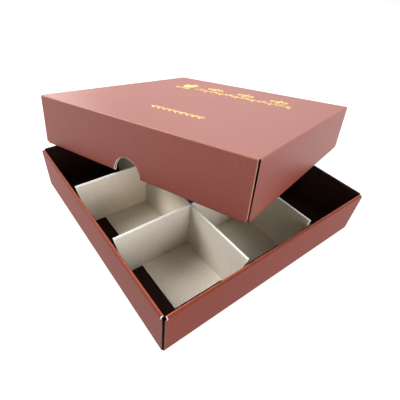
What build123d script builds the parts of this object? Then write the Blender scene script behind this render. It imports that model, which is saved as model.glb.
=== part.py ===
import math
import os

from build123d import *

# A square chocolate box of thin folded board, open, with its lid leaning on the tray.
# Millimetres. The origin is the middle of the underside of the tray, and +Z is up.
# The tray's front left corner, at (-x, -y), is the one nearest to the viewer.

# Board of the tray and the lid
board = 0.45
fold_radius = 0.4
ply_gap = 0.65
corner_slit = 0.7
corner_gap = 0.15
rim_relief = 1.1
flap_length = 22.0
flap_clearance = 0.1
flap_margin = 1.6
hem_clearance = 0.1

# Tray
tray_width = 120.0
tray_height = 23.5

# Lid
lid_clearance = 0.95
lid_height = 25.6
notch_radius = 8.3

# How the lid leans: where the inner faces of its two near walls cross the tray's far rims,
# its turn about its own upright axis, and the gap that it keeps to the rims and the table
lean_left = 8.4
lean_right = 31.2
lean_turn = 55.0
lean_gap = 0.1

# Insert of white card
card = 0.45
card_gap = 0.1
card_fold_radius = 0.35
cell_pitch = 38.0
insert_width = 90.0
insert_depth = 92.0
insert_height = 25.9
ridge_length = 112.0
divider_length = 114.4
divider_taper = 4.2
slot_clearance = 0.5
slot_overlap = 1.0
rest_gap = 0.05
insert_wall_gap = 0.25

# Worked out from the sizes above
wall = 2 * board + ply_gap
lid_width = tray_width + 2 * (wall + lid_clearance)
divider_thickness = 2 * card + card_gap
insert_low = board + rest_gap
insert_high = insert_low + insert_height
divider_low = insert_low + card + rest_gap
slot_level = (divider_low + insert_high) / 2

# The insert is pushed into the near corner of the tray, until its dividers meet the walls
insert_reach = tray_width / 2 - wall - insert_wall_gap
insert_x = divider_length / 2 - insert_reach
insert_y = ridge_length / 2 - insert_reach
ridge_places = [insert_x - cell_pitch / 2, insert_x + cell_pitch / 2]
divider_places = [insert_y - cell_pitch / 2, insert_y + cell_pitch / 2]


def wall_plane(base, turn):
    """The upright plane through the middle of a box that cuts one wall square across.
    Its x axis points out through the wall, and its y axis points up from the floor."""
    out = base.x_dir.rotate(Axis((0, 0, 0), base.z_dir), turn)
    return Plane(origin=base.origin, x_dir=out, z_dir=out.cross(base.z_dir))


def outer_ply(plane, width, height):
    """The section of the floor's edge, the bottom fold and the outer ply of a wall."""
    face = width / 2 - board / 2
    low = board / 2
    with BuildSketch(plane) as section:
        with BuildLine():
            Line((width / 2 - wall, low), (face - fold_radius, low))
            CenterArc((face - fold_radius, low + fold_radius), fold_radius, 270, 90)
            Line((face, low + fold_radius), (face, height - rim_relief))
        trace(line_width=board)
    return section.sketch


def rim_and_inner_ply(plane, width, height):
    """The section from the outer ply over the rolled rim and down the inner ply."""
    outer = width / 2 - board / 2
    inner = width / 2 - wall + board / 2
    roll = (outer - inner) / 2
    shoulder = height - board / 2 - roll
    with BuildSketch(plane) as section:
        with BuildLine():
            Line((outer, height - 2 * rim_relief), (outer, shoulder))
            CenterArc(((outer + inner) / 2, shoulder), roll, 0, 180)
            Line((inner, shoulder), (inner, board + hem_clearance))
        trace(line_width=board)
    return section.sketch


def corner_flap(plane, width, side, end):
    """A glue flap in plan: it turns round the corner from a side wall and runs between the
    two plies of the next wall."""
    face = width / 2 - board / 2
    line = face - board - flap_clearance
    start = width / 2 - wall - corner_gap
    bend_start = (side * face, end * (line - fold_radius))
    bend_end = (side * (face - fold_radius), end * line)
    with BuildSketch(plane) as section:
        with BuildLine():
            Line((side * face, end * start), bend_start)
            RadiusArc(bend_start, bend_end, side * end * -fold_radius)
            Line(bend_end, (side * (face - flap_length), end * line))
        trace(line_width=board)
    return section.sketch


def folded_box(base, width, height):
    """The floor, walls, rims and corner flaps of a tray that is folded from one sheet.
    It stands on the base plane, and a lid is the same thing upside down."""
    with BuildSketch(base) as floor:
        Rectangle(width - 2 * wall + board, width - 2 * wall + board)
    extrude(floor.sketch, amount=board)
    for turn in (0, 90, 180, 270):
        plane = wall_plane(base, turn)
        extrude(outer_ply(plane, width, height), amount=width / 2 - corner_slit, both=True)
        rim_length = width / 2 - wall - corner_gap
        extrude(rim_and_inner_ply(plane, width, height), amount=rim_length, both=True)
    flap_height = height - rim_relief - 2 * flap_margin
    for side in (-1, 1):
        for end in (-1, 1):
            flap = corner_flap(base.offset(flap_margin), width, side, end)
            extrude(flap, amount=flap_height)


def hairpin(plane, place, low):
    """The section of a strip folded double over its top edge."""
    roll = (card + card_gap) / 2
    shoulder = insert_high - card / 2 - roll
    with BuildSketch(plane) as section:
        with BuildLine():
            Line((place - roll, low), (place - roll, shoulder))
            CenterArc((place, shoulder), roll, 180, -180)
            Line((place + roll, shoulder), (place + roll, low))
        trace(line_width=card)
    return section.sketch


def floor_strips(plane):
    """The section of the insert's floor strips, with the foot of each ridge turned up."""
    low = insert_low + card / 2
    roll = (card + card_gap) / 2
    foot = low + card_fold_radius
    left_feet = [ridge - roll - card_fold_radius for ridge in ridge_places]
    right_feet = [ridge + roll + card_fold_radius for ridge in ridge_places]
    starts = [insert_x - insert_width / 2] + right_feet
    ends = left_feet + [insert_x + insert_width / 2]
    with BuildSketch(plane) as section:
        for start, end in zip(starts, ends):
            with BuildLine():
                Line((start, low), (end, low))
            trace(line_width=card)
        for left, right in zip(left_feet, right_feet):
            with BuildLine():
                CenterArc((left, foot), card_fold_radius, 270, 90)
            trace(line_width=card)
            with BuildLine():
                CenterArc((right, foot), card_fold_radius, 180, 90)
            trace(line_width=card)
    return section.sketch


def tapered_side(plane, middle, length, low):
    """The side view of a divider: its ends lean in towards the floor."""
    top = length / 2
    foot = top - divider_taper
    with BuildSketch(plane) as outline:
        with BuildLine():
            Line((middle - foot, low), (middle + foot, low))
            Line((middle + foot, low), (middle + top, insert_high))
            Line((middle + top, insert_high), (middle - top, insert_high))
            Line((middle - top, insert_high), (middle - foot, low))
        make_face()
    return outline.sketch


def slot(plane, place, level, side):
    """A slot that runs from its closed end, at a level, out through one edge of a divider."""
    with BuildSketch(plane) as cut:
        with Locations((place, level)):
            Rectangle(divider_thickness + slot_clearance, insert_high, align=(Align.CENTER, side))
    return cut.sketch


def lid_base():
    """The plane of the lid's top, seen from inside the lid.
    The lid leans on the far rims of the tray, and its far corner is down at the table.
    Its bottom rim lies in a plane through both rim contacts, which are level, and that corner."""
    left = Vector(-tray_width / 2 + lean_left, tray_width / 2, tray_height + lean_gap)
    right = Vector(tray_width / 2, -tray_width / 2 + lean_right, tray_height + lean_gap)
    span = (right - left).length
    level = (right - left).normalized()
    turn = math.radians(lean_turn)
    near_to_left = span * math.sin(turn)
    inner_width = lid_width - wall
    slope_length = inner_width * (math.sin(turn) + math.cos(turn)) - near_to_left * math.cos(turn)
    tilt = math.degrees(math.asin(tray_height / slope_length))
    downhill = Vector(0, 0, 1).cross(level).rotate(Axis((0, 0, 0), tuple(level)), -tilt)
    along = level * math.cos(turn) + downhill * math.sin(turn)
    across = downhill * math.cos(turn) - level * math.sin(turn)
    up = along.cross(across)
    near_corner = left - across * near_to_left - (along + across) * wall
    top_middle = near_corner + (along + across) * (lid_width / 2) + up * lid_height
    return Plane(origin=top_middle, x_dir=along, z_dir=-up)


os.makedirs("parts", exist_ok=True)

# Tray: one sheet, folded up at its four edges and rolled over its rims
with BuildPart() as tray:
    folded_box(Plane.XY, tray_width, tray_height)
tray.part.label = "tray"

# Lid: one sheet folded the same way, with a thumb notch in its front and back walls
lid_plane = lid_base()
with BuildPart() as lid:
    folded_box(lid_plane, lid_width, lid_height)
    with BuildSketch(Plane(origin=lid_plane.origin, x_dir=lid_plane.y_dir, z_dir=lid_plane.x_dir)):
        with Locations((0, lid_height)):
            Circle(notch_radius)
    extrude(amount=lid_width, both=True, mode=Mode.SUBTRACT)
lid.part.label = "lid"

# Insert base: a card floor with two double ridges, which run from front to back
with BuildPart() as insert_base:
    front = Plane.XZ.offset(-insert_y)
    extrude(floor_strips(front), amount=insert_depth / 2, both=True)
    for ridge in ridge_places:
        extrude(hairpin(front, ridge, insert_low), amount=ridge_length / 2, both=True)
    side_view = tapered_side(Plane.YZ, insert_y, ridge_length, insert_low)
    extrude(side_view, amount=tray_width, both=True, mode=Mode.INTERSECT)
    for crossing in divider_places:
        opening = slot(Plane.YZ, crossing, slot_level - slot_overlap / 2, Align.MIN)
        extrude(opening, amount=tray_width, both=True, mode=Mode.SUBTRACT)
insert_base.part.label = "insert_base"


def cross_divider(place):
    """A strip of card folded double, slotted from below over both ridges."""
    fold = hairpin(Plane.YZ.offset(insert_x), place, divider_low)
    extrude(fold, amount=divider_length / 2, both=True)
    side_view = tapered_side(Plane.XZ, insert_x, divider_length, divider_low)
    extrude(side_view, amount=tray_width, both=True, mode=Mode.INTERSECT)
    for ridge in ridge_places:
        opening = slot(Plane.XZ, ridge, slot_level + slot_overlap / 2, Align.MAX)
        extrude(opening, amount=tray_width, both=True, mode=Mode.SUBTRACT)


with BuildPart() as divider_front:
    cross_divider(divider_places[0])
divider_front.part.label = "divider_front"

with BuildPart() as divider_rear:
    cross_divider(divider_places[1])
divider_rear.part.label = "divider_rear"

export_step(tray.part, "parts/tray.step")
export_step(lid.part, "parts/lid.step")
export_step(insert_base.part, "parts/insert_base.step")
export_step(divider_front.part, "parts/divider_front.step")
export_step(divider_rear.part, "parts/divider_rear.step")
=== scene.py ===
import math

import bpy
from mathutils import Matrix, Vector


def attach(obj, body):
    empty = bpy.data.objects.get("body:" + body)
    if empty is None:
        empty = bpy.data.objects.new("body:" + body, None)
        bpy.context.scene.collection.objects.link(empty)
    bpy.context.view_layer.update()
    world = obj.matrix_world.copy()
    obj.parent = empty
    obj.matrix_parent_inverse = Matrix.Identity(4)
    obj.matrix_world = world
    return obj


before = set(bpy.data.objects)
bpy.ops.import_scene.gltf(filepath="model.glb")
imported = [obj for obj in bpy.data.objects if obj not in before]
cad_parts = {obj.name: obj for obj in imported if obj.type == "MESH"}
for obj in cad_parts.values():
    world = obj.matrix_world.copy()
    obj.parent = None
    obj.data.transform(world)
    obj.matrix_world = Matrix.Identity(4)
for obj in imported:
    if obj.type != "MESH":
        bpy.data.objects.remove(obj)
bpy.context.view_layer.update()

# Tray: one sheet of thin board, folded up at four edges, rolled over its rims and glued at the
# corners. It is printed satin copper brown outside and near black inside. The pale core of the
# board shows at the near corner, where the ends of the rims are worn.
mm = 0.001
board = 0.45 * mm
wall = 1.55 * mm
corner_slit = 0.7 * mm
corner_gap = 0.15 * mm
tray_width = 120.0 * mm
tray_height = 23.5 * mm
print_skin = 0.25 * mm
# how far the painted shade on two of the rims reaches down their outer faces
painted_shade_lap = 0.6 * mm
fold_width = 0.55 * mm
fold_blur = 0.35 * mm
rim_crown = 0.75 * mm
rim_fold_depth = 0.45 * mm
slit_fold_width = 1.1 * mm
worn_width = 1.0 * mm
worn_depth = 1.1 * mm
worn_corner = 8.0 * mm

copper_print = (0.214, 0.032, 0.016, 1)
# the lighter copper of the folds: worn print and painted highlight
copper_fold = (0.52, 0.150, 0.075, 1)
dark_print = (0.026, 0.0095, 0.0080, 1)
# painted shadow: the black inside the corner slits
painted_slit_shadow = (0.003, 0.0015, 0.0015, 1)
board_core = (0.92, 0.89, 0.80, 1)
tray_gloss = 0.19
satin_roughness = 0.50
matt_roughness = 0.80
# how much the folds lighten: partly wear, partly painted highlight
panel_wear_and_highlight = 0.36
rim_wear_and_highlight = 0.8
slit_wear_and_highlight = 0.3
dark_soaking = 0.5


def add_node(tree, kind, inputs, **options):
    """A shader node with its options set, and its inputs set to values or linked."""
    made = tree.nodes.new("ShaderNode" + kind)
    for option, value in options.items():
        setattr(made, option, value)
    for key, value in inputs.items():
        if isinstance(value, bpy.types.NodeSocket):
            tree.links.new(value, made.inputs[key])
        else:
            made.inputs[key].default_value = value
    return made


def calculate(tree, operation, *values):
    return add_node(tree, "Math", dict(enumerate(values)), operation=operation).outputs[0]


def both(tree, amount, *others):
    """Where a mask meets all the others, or a mask made weaker by a number."""
    for other in others:
        amount = calculate(tree, "MULTIPLY", amount, other)
    return amount


def either(tree, amount, *others):
    """Where any of the masks is."""
    for other in others:
        amount = calculate(tree, "MAXIMUM", amount, other)
    return amount


def without(tree, amount, *others):
    """A mask with the others taken away."""
    for other in others:
        amount = calculate(tree, "SUBTRACT", amount, other)
    return amount


def past(tree, value, limit, soft=0.03 * mm):
    """1 where a value is past a limit, and 0 where it falls short."""
    inputs = {"Value": value, "From Min": limit - soft, "From Max": limit + soft}
    return add_node(tree, "MapRange", inputs).outputs[0]


def short_of(tree, value, limit, soft=0.03 * mm):
    """1 where a value falls short of a limit, and 0 where it is past it."""
    return without(tree, 1.0, past(tree, value, limit, soft))


def near(tree, value, target, reach):
    """1 where a value is within reach of a target."""
    distance = calculate(tree, "ABSOLUTE", calculate(tree, "SUBTRACT", value, target))
    return short_of(tree, distance, reach)


def mix_colours(tree, amount, first, second):
    return add_node(tree, "Mix", {0: amount, 6: first, 7: second}, data_type="RGBA").outputs[2]


def speckle(tree, place, scale, amount=1.0, detail=2.0):
    """Noise about zero, from about minus half the amount to half of it."""
    inputs = {"Vector": place, "Scale": scale, "Detail": detail}
    noise = add_node(tree, "TexNoise", inputs)
    centred = calculate(tree, "SUBTRACT", noise.outputs["Fac"], 0.5)
    return calculate(tree, "MULTIPLY", centred, amount)


def shade(tree, colour, *amounts):
    """The colour made lighter or darker by small amounts about zero."""
    total = 1.0
    for amount in amounts:
        total = calculate(tree, "ADD", total, amount)
    return add_node(tree, "VectorMath", {0: colour, "Scale": total}, operation="SCALE").outputs[0]


def paper_bump(tree, place, fibre, waviness):
    """The fine tooth of the paper, over the slight waves of a glued sheet."""
    waves = speckle(tree, place, 28.0, detail=1.0)
    tooth = speckle(tree, place, 2600.0, detail=3.0)
    inputs = {"Strength": waviness, "Distance": 1.2 * mm, "Height": waves}
    slow = add_node(tree, "Bump", inputs).outputs[0]
    inputs = {"Strength": fibre, "Distance": 0.05 * mm, "Height": tooth, "Normal": slow}
    return add_node(tree, "Bump", inputs).outputs[0]


def start_material(name, origin, turn):
    """An empty material, and the place on the piece measured from its own origin."""
    material = bpy.data.materials.new(name)
    material.use_nodes = True
    tree = material.node_tree
    tree.nodes.clear()
    coordinates = add_node(tree, "TexCoord", {})
    inputs = {"Vector": coordinates.outputs["Object"], "Location": origin, "Rotation": turn}
    place = add_node(tree, "Mapping", inputs, vector_type="TEXTURE").outputs[0]
    return material, tree, place


def finish_material(tree, colour, roughness, normal, others):
    inputs = {"Base Color": colour, "Roughness": roughness, "Normal": normal}
    inputs.update(others)
    shader = add_node(tree, "BsdfPrincipled", inputs)
    add_node(tree, "OutputMaterial", {"Surface": shader.outputs[0]})


def board_material(name, place_of, size, gloss, closed_slit_shade, slit_edge=None, notch_radius=None):
    """Printed board of a tray that stands on its origin, and whose walls are two plies thick.
    Its corner slits are painted black as shadow, fading towards the rim to the painted shade of a closed
    slit, and the cut edges along them may have a colour of their own on the X walls."""
    material, tree, place = start_material(name, *place_of)
    width, height = size
    face = width / 2
    place_x, place_y, depth = add_node(tree, "SeparateXYZ", {0: place}).outputs
    side_x = calculate(tree, "ABSOLUTE", place_x)
    side_y = calculate(tree, "ABSOLUTE", place_y)
    across = calculate(tree, "MAXIMUM", side_x, side_y)
    along = calculate(tree, "MINIMUM", side_x, side_y)

    # Where the print is copper: the outer faces, the panel that the box stands on, and the rims of
    # two walls. The rims of the other two walls take the dark inside colour as painted shade; on the tray
    # they lie under the leaning lid.
    in_slit = past(tree, along, face - corner_slit + 0.05 * mm)
    painted_shade_walls = past(tree, calculate(tree, "MAXIMUM", place_x, place_y), face - wall)
    painted_shade_rim = both(tree, painted_shade_walls, past(tree, depth, height - painted_shade_lap))
    outer_face = without(tree, past(tree, across, face - print_skin), in_slit, painted_shade_rim)
    panel = short_of(tree, depth, print_skin)
    rim = without(tree, past(tree, depth, height - print_skin), painted_shade_walls)
    copper = either(tree, outer_face, panel, rim)

    # Folds are lighter, partly where the print is stretched and rubbed and partly as a painted highlight
    # where the rounded fold catches light, most along the inner edge of a rim
    at_side = past(tree, across, face - fold_width, fold_blur)
    at_panel = short_of(tree, depth, fold_width, fold_blur)
    panel_fold = both(tree, at_side, at_panel, panel_wear_and_highlight)
    inner_edge = short_of(tree, across, face - rim_crown, 0.15 * mm)
    at_rim = past(tree, depth, height - rim_fold_depth, 0.2 * mm)
    rim_fold = both(tree, at_rim, inner_edge, rim_wear_and_highlight)
    slit_fold = both(tree, past(tree, along, face - slit_fold_width, 0.25 * mm), slit_wear_and_highlight)
    uneven = calculate(tree, "ADD", speckle(tree, place, 240.0, 0.8), 0.75)
    fold = both(tree, either(tree, panel_fold, rim_fold, slit_fold), uneven)

    # Where the bare core shows: the ends of the rims at one corner, and the cut round the notch
    rim_end = both(
        tree,
        near(tree, along, face - wall - corner_gap, 0.25 * mm),
        past(tree, across, face - worn_width, 0.1 * mm),
        past(tree, depth, height - worn_depth),
        short_of(tree, calculate(tree, "ADD", place_x, place_y), worn_corner - width)
    )
    bare = rim_end
    if notch_radius:
        rise = calculate(tree, "SUBTRACT", depth, height)
        squares = [calculate(tree, "MULTIPLY", value, value) for value in (rise, place_y)]
        reach = calculate(tree, "SQRT", calculate(tree, "ADD", *squares))
        bare = either(tree, rim_end, near(tree, reach, notch_radius, 0.09 * mm))

    # The cut edges of the slits and what shows between them are painted as shadow, which fades as the slit
    # closes
    slit_end = near(tree, along, face - corner_slit, 0.07 * mm)
    slit_end = both(tree, slit_end, past(tree, across, face - board))
    slit = either(tree, in_slit, slit_end)
    closing = past(tree, depth, height * 0.62, height * 0.25)
    slit_shade_colour = mix_colours(tree, closing, painted_slit_shadow, closed_slit_shade)

    # The dark print soaks up nearly all light and takes no pale sheen; the slit, painted as black shadow,
    # takes none either
    sheenless = both(tree, without(tree, 1.0, either(tree, copper, bare)), dark_soaking)
    sheenless = either(tree, sheenless, slit)

    colour = mix_colours(tree, fold, copper_print, copper_fold)
    colour = mix_colours(tree, copper, dark_print, colour)
    colour = mix_colours(tree, slit, colour, slit_shade_colour)
    if slit_edge:
        x_wall = past(tree, calculate(tree, "SUBTRACT", side_x, side_y), 0.0)
        pale_edge = both(tree, slit_end, x_wall)
        colour = mix_colours(tree, pale_edge, colour, slit_edge)
        sheenless = without(tree, sheenless, pale_edge)
    colour = mix_colours(tree, bare, colour, board_core)
    cloud = speckle(tree, place, 30.0, 0.10)
    mottle = speckle(tree, place, 600.0, 0.26)
    flake = speckle(tree, place, 1500.0, 0.70)
    colour = shade(tree, colour, cloud, mottle, flake)
    smoother = satin_roughness - matt_roughness
    roughness = calculate(tree, "MULTIPLY_ADD", copper, smoother, matt_roughness)
    roughness = calculate(tree, "ADD", roughness, speckle(tree, place, 900.0, 0.18))
    sheen = {"Metallic": sheenless, "Specular IOR Level": gloss}
    finish_material(tree, colour, roughness, paper_bump(tree, place, 0.25, 0.10), sheen)
    return material


def dress(node, material):
    """Gives a CAD node its material, in every slot that it has."""
    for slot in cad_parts[node].material_slots:
        slot.material = material


tray_place = ((0, 0, 0), (0, 0, 0))
tray_print = board_material("tray_print", tray_place, (tray_width, tray_height), tray_gloss, painted_slit_shadow)
dress("tray", tray_print)

# Lid: one sheet of the same board, folded the same way upside down, with a half-round thumb
# notch cut through both plies of its front and back walls. It leans on the tray's far rims, with
# its far corner down at the table.
lid_width = 125.0 * mm
lid_height = 25.6 * mm
notch_radius = 8.3 * mm
lean_left = 8.4 * mm
lean_right = 31.2 * mm
lean_turn = math.radians(55.0)
lean_gap = 0.1 * mm
lid_gloss = 0.82
lid_slit_edge = (0.60, 0.32, 0.22, 1)
# painted shade: the dark brown of the lid's slits towards the rim
closed_lid_slit_shade = (0.12, 0.032, 0.022, 1)

# Its place follows from where the inner faces of its two near walls cross the tray's far rims,
# and from its far corner, which is on the table
left_contact = Vector((-tray_width / 2 + lean_left, tray_width / 2, tray_height + lean_gap))
right_contact = Vector((tray_width / 2, -tray_width / 2 + lean_right, tray_height + lean_gap))
span = (right_contact - left_contact).length
level = (right_contact - left_contact).normalized()
near_to_left = span * math.sin(lean_turn)
slope_length = (lid_width - wall) * (math.sin(lean_turn) + math.cos(lean_turn))
slope_length -= near_to_left * math.cos(lean_turn)
tilt = math.asin(tray_height / slope_length)
downhill = Matrix.Rotation(-tilt, 3, level) @ Vector((0, 0, 1)).cross(level)
lid_along = level * math.cos(lean_turn) + downhill * math.sin(lean_turn)
lid_across = downhill * math.cos(lean_turn) - level * math.sin(lean_turn)
lid_up = lid_along.cross(lid_across)
near_corner = left_contact - lid_across * near_to_left - (lid_along + lid_across) * wall
lid_middle = near_corner + (lid_along + lid_across) * (lid_width / 2) + lid_up * lid_height
lid_axes = Matrix((lid_along, -lid_across, -lid_up)).transposed()
lid_place = (lid_middle, lid_axes.to_euler())

lid_print = board_material(
    "lid_print", lid_place, (lid_width, lid_height), lid_gloss, closed_lid_slit_shade, lid_slit_edge, notch_radius
)
dress("lid", lid_print)

# Gold foil: a hot-stamped ornament on the lid, of pen strokes and leaves pressed almost flat.
# A bud and a long vine with three tall motifs lie at the far side, and a short twig lies nearer
# the notch. Its places are in millimetres to the right of and up from the middle of the lid.
foil_rise = 0.03
foil_bright = (0.93, 0.66, 0.12, 1)
foil_worn = (0.82, 0.50, 0.10, 1)
foil_roughness = 0.34


def foil_stroke(points):
    """A stroke through points of (right, up, half of its thickness) in millimetres."""
    bpy.ops.object.select_all(action="DESELECT")
    bpy.ops.curve.primitive_nurbs_path_add()
    stroke = bpy.context.object
    spline = stroke.data.splines[0]
    spline.points.add(max(0, len(points) - len(spline.points)))
    for number, point in enumerate(spline.points):
        right, up, half = points[min(number, len(points) - 1)]
        point.co = (right, up, 0, 1)
        point.radius = half
    spline.use_endpoint_u = True
    spline.order_u = 4
    stroke.data.resolution_u = 5
    stroke.data.bevel_depth = 1.0
    stroke.data.bevel_resolution = 2
    stroke.data.use_fill_caps = True
    bpy.ops.object.convert(target="MESH")
    stroke = bpy.context.object
    tallest = max(half for right, up, half in points)
    stroke.scale = (1, 1, foil_rise / tallest)
    bpy.ops.object.transform_apply(location=False, rotation=False, scale=True)
    return stroke


def foil_leaf(right, up, heading, length, half):
    """A pointed leaf, from its stalk out along a heading in degrees."""
    turn = math.radians(heading)
    steps = [(0.0, 0.08), (0.22, 0.75), (0.5, 1.0), (0.78, 0.6), (1.0, 0.05)]
    points = [
        (right + math.cos(turn) * length * step, up + math.sin(turn) * length * step, half * share)
        for step, share in steps
    ]
    return foil_stroke(points)


def foil_spiral(right, up, radius, start, turns, half):
    """A tendril that winds in to its eye, thin at both ends and swollen in the middle.
    Right and up are the eye, and start is the heading of its outer end in degrees."""
    count = 14
    points = []
    for number in range(count):
        step = number / (count - 1)
        angle = math.radians(start) + turns * 2 * math.pi * step
        reach = radius * (1 - 0.86 * step)
        swelling = math.sin(math.pi * min(1, step * 1.15)) ** 2
        thickness = half * (0.35 + 0.9 * swelling)
        points.append((right + reach * math.cos(angle), up + reach * math.sin(angle), thickness))
    return foil_stroke(points)


# A vine runs in waves, with a tendril curled inside each wave and a leaf outside it
foil_marks = []
vine_left = -27.0
vine_right = 40.0
vine_level = 27.5
vine_swing = 2.0
half_waves = 12
wave_width = (vine_right - vine_left) / half_waves
vine_points = []
for number in range(4 * half_waves + 1):
    wave = math.sin(number * math.pi / 4)
    thickness = 0.20 + 0.22 * math.sin(math.pi * number / (4 * half_waves))
    vine_points.append((vine_left + wave_width * number / 4, vine_level + vine_swing * wave, thickness))
foil_marks.append(foil_stroke(vine_points))
for number in range(half_waves):
    side = -1 if number % 2 else 1
    crest = vine_left + wave_width * (number + 0.5)
    foil_marks.append(foil_spiral(crest, vine_level - 0.4 * side, 2.2, 90 * side, -1.1 * side, 0.30))
    foil_marks.append(foil_leaf(crest + 0.6, vine_level + 1.9 * side, 48 * side, 3.6, 0.62))

# Three tall motifs stand on the vine, each of two curls back to back with a long leaf between
motif_places = (-15.9, 6.4, 28.8)
curl = 3.3
curl_level = 35.8
for right in motif_places:
    foil_marks.append(foil_spiral(right - curl, curl_level, curl, -62, 1.4, 0.50))
    foil_marks.append(foil_spiral(right + curl, curl_level, curl, 242, -1.4, 0.50))
    foil_marks.append(foil_leaf(right, vine_level + 2.5, 90, 13.0, 0.85))

# A bud on two curls opens the line, with three plump leaves that overlap
bud_right = -34.5
bud_foot = 26.0
bud_leaves = ((90, 17.0, 2.3), (112, 12.5, 2.0), (68, 12.5, 2.0))
bud_curl = 2.9
for heading, length, half in bud_leaves:
    foil_marks.append(foil_leaf(bud_right, bud_foot, heading, length, half))
foil_marks.append(foil_spiral(bud_right - bud_curl, bud_foot - 1.6, 3.0, 35, -1.3, 0.50))
foil_marks.append(foil_spiral(bud_right + bud_curl, bud_foot - 1.6, 3.0, 145, 1.3, 0.50))

# A twig with leaves in pairs lies nearer the notch
twig_left = -12.0
twig_level = -33.0
leaf_pairs = 9
leaf_pitch = 3.5
for number in range(leaf_pairs):
    right = twig_left + 1.0 + number * leaf_pitch
    for heading in (38, -38):
        foil_marks.append(foil_leaf(right, twig_level, heading, 3.8, 0.52))
twig_points = [(twig_left + 8.2 * number, twig_level, 0.16) for number in range(5)]
foil_marks.append(foil_stroke(twig_points))

bpy.ops.object.select_all(action="DESELECT")
for mark in foil_marks:
    mark.select_set(True)
bpy.context.view_layer.objects.active = foil_marks[0]
bpy.ops.object.join()
lid_foil = bpy.context.object
lid_foil.name = "lid_foil"
page = Matrix((-lid_across, lid_along, lid_up)).transposed().to_4x4()
lid_foil.matrix_world = Matrix.Translation(lid_middle) @ page @ Matrix.Scale(mm, 4)
bpy.ops.object.transform_apply(location=True, rotation=True, scale=True)
bpy.ops.object.shade_smooth()

foil_gold, tree, place = start_material("foil_gold", *lid_place)
worn = past(tree, speckle(tree, place, 900.0), 0.12, 0.08)
colour = mix_colours(tree, worn, foil_bright, foil_worn)
roughness = calculate(tree, "ADD", speckle(tree, place, 1400.0, 0.3), foil_roughness)
finish_material(tree, colour, roughness, paper_bump(tree, place, 0.5, 0.10), {"Metallic": 1.0})
lid_foil.data.materials.clear()
lid_foil.data.materials.append(foil_gold)
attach(lid_foil, "lid_body")

# Insert: white card with a pearl grey face, folded into three floor strips with two double
# ridges between them. Its folds crack white along their tops, and its cut edges are white.
insert_low = 0.5 * mm
insert_high = 26.4 * mm
insert_x = -1.0 * mm
insert_y = -2.2 * mm
insert_width = 90.0 * mm
insert_depth = 92.0 * mm
ridge_length = 112.0 * mm
end_taper = 4.2 * mm
white_top = 0.75 * mm
white_end = 0.22 * mm
white_edge = 0.3 * mm

pearl_grey = (0.875, 0.805, 0.70, 1)
card_white = (1.0, 0.99, 0.97, 1)
card_roughness = 0.50


def card_material(name, turn, length, low, floor_size=None):
    """Pearl card of a strip that runs along X of its own place, with white folds and edges.
    Its ends lean in towards its low edge."""
    material, tree, place = start_material(name, (insert_x, insert_y, 0), (0, 0, turn))
    place_x, place_y, height = add_node(tree, "SeparateXYZ", {0: place}).outputs
    side_x = calculate(tree, "ABSOLUTE", place_x)
    side_y = calculate(tree, "ABSOLUTE", place_y)
    fold = past(tree, height, insert_high - white_top, 0.12 * mm)
    lean_in = calculate(tree, "SUBTRACT", insert_high, height)
    lean_in = calculate(tree, "MULTIPLY", lean_in, end_taper / (insert_high - low))
    end = past(tree, calculate(tree, "ADD", side_x, lean_in), length / 2 - white_end, 0.05 * mm)
    white = either(tree, fold, end)
    if floor_size:
        long_edge = past(tree, side_x, floor_size[0] / 2 - white_edge, 0.1 * mm)
        short_edge = past(tree, side_y, floor_size[1] / 2 - white_edge, 0.1 * mm)
        at_floor = short_of(tree, height, insert_low + 0.5 * mm)
        white = either(tree, white, both(tree, either(tree, long_edge, short_edge), at_floor))
    colour = mix_colours(tree, white, pearl_grey, card_white)
    cloud = speckle(tree, place, 45.0, 0.10)
    grain = speckle(tree, place, 1500.0, 0.32)
    colour = shade(tree, colour, cloud, grain)
    roughness = calculate(tree, "ADD", speckle(tree, place, 700.0, 0.15), card_roughness)
    finish_material(tree, colour, roughness, paper_bump(tree, place, 0.22, 0.15), {})
    return material


ridge_card = card_material(
    "ridge_card", math.radians(90), ridge_length, insert_low, (insert_depth, insert_width)
)
dress("insert_base", ridge_card)

# Dividers: two strips of the same card, folded double over their tops and slotted from below
# over the ridges. Their ends lean in towards the floor as those of the ridges do.
divider_length = 114.4 * mm
divider_low = 1.0 * mm

divider_card = card_material("divider_card", 0, divider_length, divider_low)
dress("divider_front", divider_card)
dress("divider_rear", divider_card)

# Floor and light: a plain white surface that takes a soft shadow, and five soft boxes round the
# object. The camera, and what it sees in a gloss, has white behind everything.
floor_width = 6
floor_drop = 0.0001
floor_grey = (0.34, 0.34, 0.34, 1)
floor_lift = 0.84
plain_white = (1, 1, 1, 1)


def seen_directly(tree):
    """1 for what the camera sees, straight, in a gloss or through a clear thing."""
    path = add_node(tree, "LightPath", {}).outputs
    return either(tree, path["Is Camera Ray"], path["Is Glossy Ray"], path["Is Transmission Ray"])


bpy.ops.object.select_all(action="DESELECT")
bpy.ops.mesh.primitive_plane_add(size=floor_width, location=(0, 0, -floor_drop))
floor = bpy.context.object
floor.name = "floor"
bpy.ops.object.transform_apply(location=True)
floor_white = bpy.data.materials.new("floor_white")
floor_white.use_nodes = True
tree = floor_white.node_tree
tree.nodes.clear()
matt = add_node(tree, "BsdfDiffuse", {"Color": floor_grey})
lift = both(tree, seen_directly(tree), floor_lift)
glow = add_node(tree, "Emission", {"Color": plain_white, "Strength": lift})
surface = add_node(tree, "AddShader", {0: matt.outputs[0], 1: glow.outputs[0]})
add_node(tree, "OutputMaterial", {"Surface": surface.outputs[0]})
floor.data.materials.append(floor_white)

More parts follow.
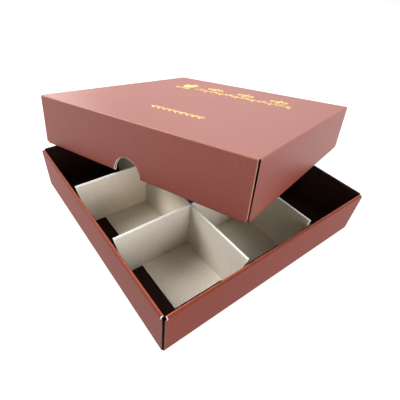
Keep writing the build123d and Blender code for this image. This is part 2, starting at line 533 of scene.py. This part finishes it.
world = bpy.data.worlds.new("studio")
bpy.context.scene.world = world
world.use_nodes = True
tree = world.node_tree
tree.nodes.clear()
backdrop = add_node(tree, "Background", {"Color": plain_white, "Strength": seen_directly(tree)})
add_node(tree, "OutputWorld", {"Surface": backdrop.outputs[0]})

lamp_aim = Vector((0.01, 0.01, 0.02))
lamp_width = 0.45
lamp_height = 0.38
lamp_white = (1.0, 0.98, 0.95)
lamps = (
    ("lamp_front", (0.0, -0.73, 0.195), 2.9),
    ("lamp_back", (0.0, 0.73, 0.195), 1.8),
    ("lamp_right", (0.394, -0.394, 0.502), 2.6),
    ("lamp_behind", (0.394, 0.394, 0.502), 3.2),
    ("lamp_left", (-0.394, 0.394, 0.502), 6.3),
)
for name, lamp_place, power in lamps:
    bpy.ops.object.light_add(type="AREA", location=lamp_place)
    lamp = bpy.context.object
    lamp.name = name
    lamp.rotation_euler = (lamp_aim - Vector(lamp_place)).to_track_quat("-Z", "Y").to_euler()
    lamp.data.shape = "RECTANGLE"
    lamp.data.size = lamp_width
    lamp.data.size_y = lamp_height
    lamp.data.energy = power
    lamp.data.color = lamp_white
    lamp.visible_camera = False

# Camera: close to the near corner and a little above, with the wide view of a small camera. Its
# place and turn come from the corners of the tray and the lid in the photograph.
photo_pixels = 400
focal_pixels = 321.02
centre_pixels = (184.42, 206.65)
sensor_width = 36
camera_place = Vector((-89.676, -102.420, 122.510)) * mm
camera_right = Vector((0.807012, -0.587500, 0.059790))
camera_down = Vector((-0.363076, -0.573473, -0.734374))
camera_ahead = Vector((0.465733, 0.570940, -0.676107))

bpy.ops.object.camera_add(location=camera_place)
camera = bpy.context.object
camera.name = "camera"
camera.rotation_euler = Matrix((camera_right, -camera_down, -camera_ahead)).transposed().to_euler()
camera.data.sensor_width = sensor_width
camera.data.lens = focal_pixels / photo_pixels * sensor_width
camera.data.shift_x = 0.5 - centre_pixels[0] / photo_pixels
camera.data.shift_y = centre_pixels[1] / photo_pixels - 0.5
camera.data.clip_start = 0.005
bpy.context.scene.camera = camera

bpy.context.scene.view_settings.view_transform = "Standard"
